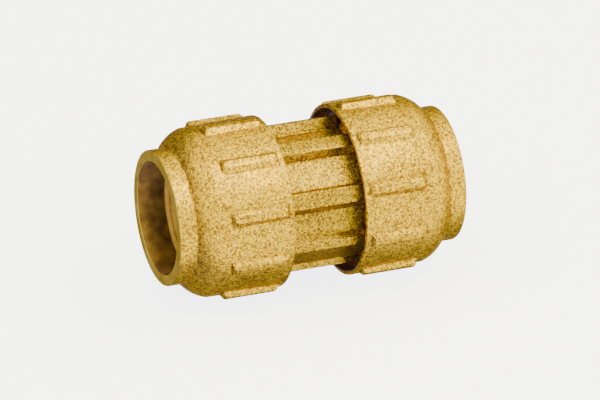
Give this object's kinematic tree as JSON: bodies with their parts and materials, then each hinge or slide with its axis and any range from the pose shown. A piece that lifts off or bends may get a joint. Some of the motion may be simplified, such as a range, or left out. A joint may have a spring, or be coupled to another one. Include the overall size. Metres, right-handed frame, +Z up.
{
  "type": "push fit coupling",
  "caption": "Straight brass push fit coupling for plastic pipe, with a ribbed octagonal body and a domed ribbed nut on each end.",
  "frame": {"origin": "centre of the coupling, on the bore's axis, halfway between the two mouths", "axes": "+X along the bore to the right mouth, +Z up, +Y away from the front"},
  "size_m": [0.0862, 0.0506, 0.0516],
  "materials": {
    "cast_brass": "sand-cast and blasted, satin",
    "dark_brass": "turned, dulled by oxide",
    "nylon": "moulded, matt",
    "stainless": "stamped, satin",
    "rubber": "matt black"
  },
  "bodies": {
    "coupling": {"coupling_body": "cast_brass", "left_backup_ring": "nylon", "left_pipe_seal": "rubber", "left_nut_seal": "rubber", "right_backup_ring": "nylon", "right_pipe_seal": "rubber", "right_nut_seal": "rubber"},
    "left_ring_stack": {"left_thrust_ring": "nylon"},
    "left_nut_shell": {"left_nut": "cast_brass"},
    "left_gripper": {"left_grip_ring": "dark_brass", "left_bite_ring": "stainless"},
    "right_ring_stack": {"right_thrust_ring": "nylon"},
    "right_nut_shell": {"right_nut": "cast_brass"},
    "right_gripper": {"right_grip_ring": "dark_brass", "right_bite_ring": "stainless"}
  },
  "joints": [
    {"name": "left_nut_advance", "type": "slide", "parent": "coupling", "child": "left_ring_stack", "axis": [-1, 0, 0], "range_m": [0, 0.00875]},
    {"name": "left_nut_turn", "type": "hinge", "parent": "left_ring_stack", "child": "left_nut_shell", "pos_m": [-0.0431, 0, 0], "axis": [-1, 0, 0], "range_deg": [0, 1260]},
    {"name": "left_grip_float", "type": "slide", "parent": "left_ring_stack", "child": "left_gripper", "axis": [1, 0, 0], "range_m": [0, 0.0006]},
    {"name": "right_nut_advance", "type": "slide", "parent": "coupling", "child": "right_ring_stack", "axis": [1, 0, 0], "range_m": [0, 0.00875]},
    {"name": "right_nut_turn", "type": "hinge", "parent": "right_ring_stack", "child": "right_nut_shell", "pos_m": [0.0431, 0, 0], "axis": [1, 0, 0], "range_deg": [0, 1260]},
    {"name": "right_grip_float", "type": "slide", "parent": "right_ring_stack", "child": "right_gripper", "axis": [-1, 0, 0], "range_m": [0, 0.0006]}
  ],
  "couplings": [
    {"joint": "left_nut_advance", "follows": "left_nut_turn", "m_per_rad": 0.00039789},
    {"joint": "right_nut_advance", "follows": "right_nut_turn", "m_per_rad": 0.00039789}
  ]
}
